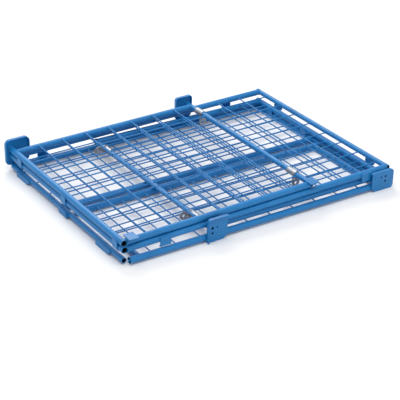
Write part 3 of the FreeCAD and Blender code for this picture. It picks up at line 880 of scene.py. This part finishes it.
@dataclass
class MeshGate(Assembly):
    """One gate's welds: beads at the tube joints, nuggets at the wires' ends and crossings.

    With a spacing it also sets the uprights where the photograph shows them.
    """

    name: str
    posts: tuple[str, str] = ("hinge_post", "free_post")
    rails: tuple[str, str] = ("front_rail", "back_rail")
    spacing: Spacing | None = None
    joinery: Joinery = Joinery.RAILS_ON_POSTS
    wide: float = 12.0 * MM
    slim: float = 10.0 * MM
    bead: float = 1.55 * MM
    nugget: Stop = (2.3 * MM, 1.5 * MM)
    wire_end: Stop = (3.7 * MM, 2.4 * MM)
    sink: float = 0.6 * MM
    uneven: float = 0.14

    def build(self, shop: Workshop) -> None:
        """Builds the gate's welds.

        Args:
            shop: What to build with.
        """
        name = self.name
        shop.run_beads(f"{name}_tube_welds", name, self.bead, 1.0 + len(name), self.joint_paths())
        uprights = rods_of(shop.frame["nodes"][f"{name}_uprights"])
        if self.spacing:
            uprights = self.spaced_uprights(shop, uprights)
        crosses = rods_of(shop.frame["nodes"][f"{name}_cross_wires"])
        marks = self.end_marks(uprights + crosses) + self.crossing_marks(uprights, crosses)
        blob = lathe(f"{name}_blob", BLOB, sides=8, smooth=True)
        shop.set_stamps(f"{name}_wire_welds", name, WELD_BLUE, blob, marks, self.uneven, seed=len(marks))

    def spaced_uprights(self, shop: Workshop, rods: list[Rod]) -> list[Rod]:
        """Builds the uprights at the photograph's spacing, in place of the solids' node.

        Args:
            shop: What to build with.
            rods: The solids' uprights, from left to right.

        Returns:
            The uprights as they stand now.
        """
        node = f"{self.name}_uprights"
        across = GatePlane.between(self.name, *self.posts).across
        moves = [across * (self.spacing.first + self.spacing.step * k) for k in range(self.spacing.count)]
        work = bmesh.new()
        work.from_mesh(shop.frame["nodes"][node].data)
        spare = []
        for corner in work.verts:
            place = min(range(len(rods)), key=lambda k: abs(rods[k].start.x - corner.co.x))
            if place < len(moves):
                corner.co += moves[place]
            else:
                spare.append(corner)
        bmesh.ops.delete(work, geom=spare, context="VERTS")
        name = f"{self.name}_spaced_uprights"
        wires = shop.piece(name, kept_mesh(name, work), self.name, BLUE)
        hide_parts(node)
        return [Rod(rod.start + move, rod.end + move) for rod, move in zip(rods, moves)]

    def joint_paths(self) -> list[Path]:
        """Weld paths of the tubes that end on others: rails on posts, or the flap's stiles on its rails.

        Returns:
            One closed path for each joint.
        """
        plane = GatePlane.between(self.name, *self.posts)
        posts, rails = nodes(self.name, *self.posts), nodes(self.name, *self.rails)
        run, side, mains, branches = plane.across, ALONG_Y, posts, rails
        stiled = self.joinery is Joinery.STILES_ON_RAILS
        if stiled:
            run, side, mains, branches = ALONG_Y, ALONG_X, rails, posts
        paths = []
        for branch in branches:
            for main in mains:
                low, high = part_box(main)
                size = (self.slim, self.wide) if stiled else (self.wide, (high[0] - low[0]) / 2)
                away = middle(branch) - middle(main)
                sign = 1 if away.dot(run) > 0 else -1
                paths.append(saddle(middle(main) + side * away.dot(side), (run * sign, side, plane.up), *size,
                                    away.dot(plane.up)))
        return paths

    def end_marks(self, rods: list[Rod]) -> list[Mark]:
        """Nuggets where wires end on tubes.

        Args:
            rods: The wires.

        Returns:
            Two marks for each wire.
        """
        marks = []
        for rod in rods:
            along = (rod.end - rod.start).normalized()
            marks.append(Mark(rod.start + along * self.sink, along, *self.wire_end))
            marks.append(Mark(rod.end - along * self.sink, -along, *self.wire_end))
        return marks

    def crossing_marks(self, uprights: list[Rod], crosses: list[Rod]) -> list[Mark]:
        """Nuggets where wires cross.

        Args:
            uprights: Wires along the posts.
            crosses: Wires along the rails.

        Returns:
            One mark for each crossing.
        """
        marks = []
        for upright in uprights:
            for cross in crosses:
                share = (upright.start.x - cross.start.x) / (cross.end.x - cross.start.x)
                lower = cross.start + (cross.end - cross.start) * share
                upper = Vector((upright.start.x, (cross.start.y + cross.end.y) / 2, upright.start.z))
                marks.append(Mark((upper + lower) / 2, (upper - lower).normalized(), *self.nugget))
        return marks


@dataclass
class BoreShades(Assembly):
    """Near-black cups inside the open tubes, seen at their ends: painted shade in the bores."""

    wall: float = 2.03 * MM
    recess: float = 1.2 * MM
    depth: float = 60.0 * MM
    inside: Stop = (0.94, 0.96)

    def build(self, shop: Workshop) -> None:
        """Builds the painted shade cups in the bores of each body.

        Args:
            shop: What to build with.
        """
        for body, mouths in MOUTHS.items():
            marks = [self.mark(f"{body}_{tube}", side) for tube, side in mouths]
            # Each cup is near-black painted shade, set just inside a tube's mouth.
            shop.set_stamps(f"{body}_tube_bores", body, BORE_SHADE, cup(f"{body}_cup", *self.inside, sides=24), marks)

    def mark(self, tube: str, side: int) -> Mark:
        """Where a tube's bore starts and which way it runs.

        Args:
            tube: The tube's node.
            side: Which end.

        Returns:
            The mark.
        """
        low, high = (Vector(corner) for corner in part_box(tube))
        axis = 0 if high.x - low.x > high.y - low.y else 1
        start = (low + high) / 2
        start[axis] = (high if side > 0 else low)[axis] - side * self.recess
        inwards = (ALONG_X, ALONG_Y)[axis] * -side
        return Mark(start, inwards, (high.z - low.z) / 2 - self.wall, self.depth)


@dataclass
class HingeStraps(Assembly):
    """Fillet welds that hold the straps' legs on a short gate's post."""

    side: str
    leg: float = 13.1 * MM
    half: float = 14.0 * MM
    height: float = 0.7 * MM
    bead: float = 1.35 * MM
    seed: float = 11.0
    steps: int = 16

    def build(self, shop: Workshop) -> None:
        """Builds the welds.

        Args:
            shop: What to build with.
        """
        gate = f"{self.side}_short"
        plane = GatePlane.between(gate)
        lines = []
        for strap in nodes(gate, "front_strap", "middle_strap", "back_strap"):
            y = middle(strap).y
            lines += [[plane.at(side * self.leg, y + self.half * (2 * k / self.steps - 1), self.height)
                       for k in range(self.steps + 1)] for side in (-1, 1)]
        shop.run_beads(f"{self.side}_strap_welds", gate, self.bead, self.seed, lines=lines)


@dataclass
class CornerPlate(Assembly):
    """Weld ring, hole bushes and painted shade in the holes of one corner plate. A hole is x and z from the post's
    axis and its radius.
    """

    gate: str
    side: str
    post: str
    holes: tuple[Point, ...] = ()
    sheet: float = 4.0 * MM
    bush_depth: float = 9.0 * MM
    bush_gap: float = 0.05 * MM
    bush_size: float = 1.25
    shade_inset: float = 1.0 * MM
    shade_short: float = 1.2 * MM
    shade_size: float = 0.985
    shade_inside: Stop = (0.9, 0.94)
    lift: float = 0.7 * MM
    bead: float = 1.5 * MM
    seed: float = 5.0
    steps: int = 40

    def build(self, shop: Workshop) -> None:
        """Builds the ring and the bushes.

        Args:
            shop: What to build with.
        """
        plate, post = nodes(self.gate, f"{self.side}_plate", f"{self.post}_post")
        low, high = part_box(post)
        radius = (high[0] - low[0]) / 2 + self.lift
        plane = GatePlane.between(self.gate)
        seat = plane.of(middle(post))
        y = low[1] + self.lift if self.holes else high[1] - self.lift
        ring = [plane.at(seat.x + radius * c, y, seat.z + radius * s) for c, s in turns(self.steps)]
        shop.run_beads(f"{plate}_weld", self.gate, self.bead, self.seed, [ring])
        if self.holes:
            self.bushes(shop, plate, Vector((middle(post).x, low[1], plane.origin.z)))

    def bushes(self, shop: Workshop, plate: str, corner: Vector) -> None:
        """Builds the bushes behind the holes, with near-black cups in them as painted shade.

        Args:
            shop: What to build with.
            plate: The plate's node.
            corner: Where the holes are counted from.
        """
        places = [(corner + Vector((x, 0, z)), radius) for x, z, radius in self.holes]
        marks = [Mark(place + ALONG_Y * self.bush_gap, ALONG_Y, size * self.bush_size, self.bush_depth)
                 for place, size in places]
        shop.set_stamps(f"{plate}_bushes", self.gate, BLUE, lathe(f"{plate}_bush", BUSH, sides=20), marks)
        # Near-black cups inside the bushes: painted shade in the holes.
        start = ALONG_Y * (self.sheet - self.shade_inset)
        depth = self.bush_depth + self.sheet - self.shade_short
        marks = [Mark(place - start, ALONG_Y, size * self.shade_size, depth) for place, size in places]
        well = cup(f"{plate}_cup", *self.shade_inside, sides=20)
        shop.set_stamps(f"{plate}_threads", self.gate, BORE_SHADE, well, marks)


@dataclass
class LinearWelds(Assembly):
    """Straight fillet welds of the lugs, edge hooks and stop tabs.

    A bead's place is a pair: how far it lies from the axis of its tube, and how high above it.
    """

    bead: float = 1.4 * MM
    tab_bead: float = 1.1 * MM
    lower_lug: tuple[Stop, ...] = ((-9.6 * MM, 5.9 * MM),)
    upper_lug: tuple[Stop, ...] = ((-8.3 * MM, -8.2 * MM), (-1.6 * MM, -10.9 * MM))
    front_hook: tuple[Stop, ...] = ((-10.9 * MM, 7.2 * MM), (-10.9 * MM, -7.2 * MM))
    back_hook: tuple[Stop, ...] = ((12.3 * MM, -3.3 * MM), (10.6 * MM, -8.5 * MM))
    tab: tuple[Stop, ...] = ((-5.6 * MM, 11.2 * MM), (5.6 * MM, 11.2 * MM))
    half_hook: float = 18.0 * MM
    half_tab: float = 16.0 * MM
    lower_inset: float = 4.0 * MM
    upper_inset: float = 3.0 * MM
    seeds: Point = (21.0, 23.0, 25.0)

    def build(self, shop: Workshop) -> None:
        """Builds all straight welds.

        Args:
            shop: What to build with.
        """
        plane = GatePlane.between("lower_long", "free_post", "hinge_post")
        lines = self.lugs(plane, "lower_long", self.lower_lug, self.lower_inset)
        shop.run_beads("lower_long_lug_welds", "lower_long", self.bead, self.seeds[0], lines=lines)
        plane = GatePlane.between("upper_long")
        lines = self.lugs(plane, "upper_long", self.upper_lug, self.upper_inset)
        for edge, places in (("front", self.front_hook), ("back", self.back_hook)):
            y = middle(f"upper_long_{edge}_rail").y
            for hook in nodes("upper_long", f"{edge}_left_hook", f"{edge}_right_hook"):
                lines += self.across(plane, hook, y, 0.0, places, self.half_hook)
        shop.run_beads("upper_long_bracket_welds", "upper_long", self.bead, self.seeds[1], lines=lines)
        plane = GatePlane.between("upper_short")
        seat = plane.of(middle("upper_short_front_rail"))
        lines = []
        for tab in nodes("upper_short", "left_tab", "free_tab"):
            lines += self.across(plane, tab, seat.y, seat.z, self.tab, self.half_tab)
        shop.run_beads("upper_short_tab_welds", "upper_short", self.tab_bead, self.seeds[2], lines=lines)

    @staticmethod
    def lugs(plane: GatePlane, gate: str, places: tuple[Stop, ...], inset: float) -> list[Path]:
        """Paths along a gate's two lugs.

        Args:
            plane: The gate's axes.
            gate: The gate.
            places: Places of the beads.
            inset: How far each stops before the lug's ends.

        Returns:
            The paths.
        """
        axis = plane.of(middle(f"{gate}_free_post")).x
        paths = []
        for lug in nodes(gate, "front_lug", "back_lug"):
            low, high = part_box(lug)
            paths += [plane.line((axis + x, low[1] + inset, z), (axis + x, high[1] - inset, z)) for x, z in places]
        return paths

    @staticmethod
    def across(plane: GatePlane, node: str, y: float, z: float, places: tuple[Stop, ...], half: float) -> list[Path]:
        """Paths across the gate at a hook or a tab, counted from the rail's axis at y and z."""
        x = plane.of(middle(node)).x
        return [plane.line((x - half, y + out, z + rise), (x + half, y + out, z + rise)) for out, rise in places]


@dataclass
class BackHooks(Assembly):
    """Edge hooks of the upper long gate's back rail: they hang lower than the solids that they stand for."""

    thickness: float = 4.0 * MM
    lip: float = 5.0 * MM
    bend: float = 3.0 * MM
    bend_middle: float = 0.9 * MM
    top: float = -4.0 * MM
    foot: float = -44.0 * MM
    inset: float = 0.5 * MM
    edge: float = 0.4 * MM

    def build(self, shop: Workshop) -> None:
        """Builds both hooks.

        Args:
            shop: What to build with.
        """
        plane = GatePlane.between("upper_long")
        foot, floor = self.foot, self.foot + self.thickness
        for label in ("left", "right"):
            node = f"upper_long_back_{label}_hook"
            low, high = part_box(node)
            half = (high[0] - low[0]) / 2 - self.inset
            x = plane.of(middle(node)).x
            outer, inner = high[1], high[1] - self.thickness
            profile = [(outer, self.top), (outer, foot + self.bend),
                       (outer - self.bend_middle, foot + self.bend_middle), (outer - self.bend, foot),
                       (inner - self.lip, foot), (inner - self.lip, floor), (inner, floor), (inner, self.top)]
            corners = [plane.at(x - half, y, z) for y, z in profile]
            name = f"upper_long_back_{label}_long_hook"
            hook = shop.piece(name, slab(name, corners, plane.across * (2 * half), self.edge), "upper_long", BLUE)
            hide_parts(node)


@dataclass
class Latch(Assembly):
    """Weld, lock seam and grip rings of one sliding latch, with angles in degrees."""

    name: str
    eye_angle: float
    outer: float = 12.8 * MM
    sweep: float = 74.0
    seam: float = 128.0
    eye_gap: float = 0.35 * MM
    ring_inset: float = 1.0 * MM
    seam_inset: float = 2.0 * MM
    eye_bead: float = 0.85 * MM
    edge_bead: float = 0.6 * MM
    seeds: Stop = (31.0, 33.0)
    steps: int = 24

    def build(self, shop: Workshop) -> None:
        """Builds the latch's details.

        Args:
            shop: What to build with.
        """
        sleeve, eye = nodes(self.name, "sleeve", "eye")
        centre = middle(sleeve)
        low, high = (corner[1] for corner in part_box(eye))
        start, stop = (corner[1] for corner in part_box(sleeve))

        def point(angle: float, y: float) -> Vector:
            """Point on the sleeve's skin."""
            return Vector((centre.x + self.outer * math.cos(angle), y, centre.z + self.outer * math.sin(angle)))

        arcs = [[point(math.radians(self.eye_angle - self.sweep + 2 * self.sweep * k / self.steps), y)
                 for k in range(self.steps + 1)] for y in (low - self.eye_gap, high + self.eye_gap)]
        shop.run_beads(f"{self.name}_eye_welds", self.name, self.eye_bead, self.seeds[0], [], arcs, ZINC)
        rings = [[point(TURN * k / RING_STEPS, y) for k in range(RING_STEPS)]
                 for y in (start + self.ring_inset, stop - self.ring_inset)]
        span = stop - start - 2 * self.seam_inset
        line = [point(math.radians(self.eye_angle + self.seam), start + self.seam_inset + span * k / LINE_STEPS)
                for k in range(LINE_STEPS + 1)]
        shop.run_beads(f"{self.name}_rolled_edges", self.name, self.edge_bead, self.seeds[1], rings, [line], ZINC)


@dataclass
class FlapPivot(Assembly):
    """Pivot plate outside the free post, with its bolt, and the flap's locking pin.

    The bolt and the pin are radius and length. The weld's run is in millimetres: from, to and step.
    """

    plate_front: float = -32.0 * MM
    plate_back: float = 34.0 * MM
    plate_low: float = -14.6 * MM
    plate_high: float = 9.0 * MM
    thickness: float = 4.6 * MM
    big_corner: float = 7.0 * MM
    small_corner: float = 3.0 * MM
    edge: float = 0.5 * MM
    bolt: Stop = (7.4 * MM, 4.6 * MM)
    pin: Stop = (4.4 * MM, 46.0 * MM)
    pin_out: float = 4.0 * MM
    bead: float = 1.3 * MM
    seed: float = 41.0
    weld_place: Stop = (0.4 * MM, 9.3 * MM)
    weld_run: tuple[int, int, int] = (-26, 29, 3)

    def build(self, shop: Workshop) -> None:
        """Builds the plate, bolt and pin.

        Args:
            shop: What to build with.
        """
        post = middle("lower_long_free_post")
        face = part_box("lower_long_free_post")[0][0]
        big, small = self.big_corner, self.small_corner
        front, back = self.plate_front, self.plate_back
        low, high = post.z + self.plate_low, post.z + self.plate_high
        outline = [(front + big, low), (back - big, low), (back, low + big), (back, high - small),
                   (back - small, high), (front + small, high), (front, high - small), (front, low + big)]
        corners = [Vector((face - self.thickness, y, z)) for y, z in outline]
        name = "lower_long_pivot_plate"
        shop.piece(name, slab(name, corners, ALONG_X * self.thickness, self.edge), "lower_long", BLUE)
        pivot = middle("lower_long_left_pivot_pin")
        mark = Mark(Vector((face - self.thickness, pivot.y, pivot.z)), -ALONG_X, *self.bolt)
        shop.set_stamps("lower_long_pivot_bolt", "lower_long", BLUE, lathe("pivot_bolt_head", BOLT_HEAD, sides=6),
                        [mark])
        out, rise = self.weld_place
        line = [Vector((face + out, y * MM, post.z + rise)) for y in range(*self.weld_run)]
        shop.run_beads(f"{name}_weld", "lower_long", self.bead, self.seed, lines=[line])
        rail = middle("lower_flap_top_rail")
        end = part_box("lower_flap_top_rail")[0][0]
        mark = Mark(Vector((end - self.pin_out, rail.y, rail.z)), ALONG_X, *self.pin)
        shop.set_stamps("lower_flap_locking_pin", "lower_flap", BLUE, lathe("locking_pin", PIN, sides=20), [mark])


@dataclass
class Studio:
    """Camera at the photograph's angle, soft lights and a pale floor."""

    place: Point = (-2.4833, -3.6445, 2.2537)
    right: Point = (0.8331, -0.5524, 0.0270)
    up: Point = (0.2397, 0.4045, 0.8826)
    lens: float = 119.1
    sensor: float = 36.0
    surround: float = 0.56
    fade_from: float = 1.1
    fade_to: float = 3.4
    floor_half: float = 9.0
    floor_white: float = 0.90
    floor_roughness: float = 0.9

    def light(self, name: str, place: Point, size: float, power: float) -> None:
        """Adds a large soft light that points at the frame.

        Args:
            name: Name of the light.
            place: Where it stands, in metres.
            size: Side of the light, in metres.
            power: Watts.
        """
        data = bpy.data.lights.new(name, "AREA")
        data.shape = "SQUARE"
        data.size = size
        data.energy = power
        light = put(name, data)
        light.location = place
        light.rotation_euler = (-Vector(place)).to_track_quat("-Z", "Y").to_euler()

    def floor(self) -> None:
        """Adds the floor, which fades to white far from the frame."""
        far = self.floor_half
        mesh = bpy.data.meshes.new("floor")
        mesh.from_pydata([(-far, -far, 0), (far, -far, 0), (far, far, 0), (-far, far, 0)], [], [(0, 1, 2, 3)])
        floor = put("floor", mesh)
        graph = ShaderGraph("pale_floor")
        graph.shader.inputs["Base Color"].default_value = (*(self.floor_white,) * 3, 1)
        graph.shader.inputs["Roughness"].default_value = self.floor_roughness
        away = graph.add("ShaderNodeVectorMath", operation="LENGTH")
        fade = graph.add("ShaderNodeMapRange", {"From Min": self.fade_from, "From Max": self.fade_to},
                         interpolation_type="SMOOTHSTEP")
        seen = graph.add("ShaderNodeLightPath")
        direct = graph.add("ShaderNodeMath", operation="MULTIPLY")
        glow = graph.add("ShaderNodeEmission")
        blend = graph.add("ShaderNodeMixShader")
        graph.link((graph.where, "Object", away, 0), (away, "Value", fade, "Value"), (fade, "Result", direct, 0),
                   (seen, "Is Camera Ray", direct, 1), (direct, 0, blend, 0), (graph.shader, "BSDF", blend, 1),
                   (glow, "Emission", blend, 2), (blend, "Shader", graph.output, "Surface"))
        floor.data.materials.append(graph.material)

    def camera(self) -> None:
        """Adds the camera."""
        data = bpy.data.cameras.new("camera")
        data.sensor_width = self.sensor
        data.lens = self.lens
        back = Vector(self.right).cross(Vector(self.up)).normalized()
        up = back.cross(Vector(self.right)).normalized()
        right = up.cross(back).normalized()
        camera = put("camera", data)
        camera.matrix_world = Matrix.Translation(self.place) @ Matrix((right, up, back)).transposed().to_4x4()
        bpy.context.scene.camera = camera

    def world(self) -> bpy.types.World:
        """Makes the surround: white where it is seen or mirrored, weaker where it lights.

        Returns:
            The world.
        """
        world = bpy.data.worlds.new("studio")
        world.use_nodes = True
        background = world.node_tree.nodes["Background"]
        background.inputs["Color"].default_value = (1.0, 1.0, 1.0, 1)
        graph = Graph(world.node_tree)
        seen = graph.add("ShaderNodeLightPath")
        direct = graph.add("ShaderNodeMath", operation="MAXIMUM")
        shown = graph.add("ShaderNodeMath", operation="MAXIMUM")
        strength = graph.add("ShaderNodeMapRange", {"To Min": self.surround, "To Max": 1.0})
        graph.link((seen, "Is Camera Ray", direct, 0), (seen, "Is Transmission Ray", direct, 1),
                   (direct, 0, shown, 0), (seen, "Is Glossy Ray", shown, 1), (shown, 0, strength, "Value"),
                   (strength, "Result", background, "Strength"))
        return world

    def build(self) -> None:
        """Sets the studio up."""
        scene = bpy.context.scene
        scene.world = self.world()
        scene.view_settings.view_transform = "Standard"
        for light in LIGHTS:
            self.light(*light)
        self.floor()
        self.camera()


def dress_nodes(shop: Workshop) -> None:
    """Gives every CAD node the finish of its material slot.

    Args:
        shop: What to build with.
    """
    materials = {finish.slot: shop.paint(finish) for finish in (BLUE, ZINC)}
    slots = {part["node"]: part["material_slot"] for part in shop.frame["record"]["subparts"]}
    for name, thing in shop.frame["nodes"].items():
        material = materials[slots[name]]
        if not thing.material_slots:
            thing.data.materials.append(material)
        for slot in thing.material_slots:
            slot.material = material
        log.info("node %s: %s", name, material.name)


# Name, place in metres, side in metres and watts
LIGHTS = (("key", (-0.9, -0.7, 4.4), 3.6, 108.0), ("fill", (0.6, -3.4, 1.9), 2.4, 12.0),
          ("back", (0.8, 3.0, 3.0), 2.4, 85.0))

GATES = (
    MeshGate("lower_long", ("free_post", "hinge_post"), ("bottom_rail", "mid_rail")),
    MeshGate("lower_flap", ("left_stile", "right_stile"), ("bottom_rail", "top_rail"),
             joinery=Joinery.STILES_ON_RAILS),
    MeshGate("lower_short", spacing=Spacing(7, 18.0 * MM, 2.5 * MM)),
    MeshGate("upper_long", spacing=Spacing(10, 11.5 * MM)),
    MeshGate("upper_short"),
)


def assemblies() -> list[Assembly]:
    """The sub-assemblies.

    Returns:
        All of them, in the order of building.
    """
    left_holes = ((-14.0 * MM, 14.5 * MM, 5.0 * MM), (-14.0 * MM, -4.5 * MM, 4.25 * MM),
                  (6.0 * MM, 14.5 * MM, 3.25 * MM))
    right_holes = ((-16.5 * MM, 14.5 * MM, 4.25 * MM), (-16.5 * MM, -4.5 * MM, 4.25 * MM),
                   (-36.5 * MM, 14.5 * MM, 3.25 * MM))
    return [
        *GATES,
        BoreShades(),
        *(HingeStraps(side) for side in ("lower", "upper")),
        CornerPlate("lower_short", "left", "free", left_holes),
        CornerPlate("lower_short", "right", "hinge", right_holes),
        CornerPlate("upper_short", "left", "hinge"),
        CornerPlate("upper_short", "right", "free"),
        LinearWelds(),
        BackHooks(),
        FlapPivot(),
        *(Latch(f"{side}_latch_{end}", angle) for side, angle in (("lower", 180.0), ("upper", 270.0))
          for end in ("front", "back")),
    ]


def main() -> None:
    """Builds the scene."""
    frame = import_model()
    shop = Workshop(frame, stamp_tree(), bead_tree())
    dress_nodes(shop)
    for assembly in assemblies():
        assembly.build(shop)
    Studio().build()
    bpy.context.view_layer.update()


if __name__ == "__main__":
    main()
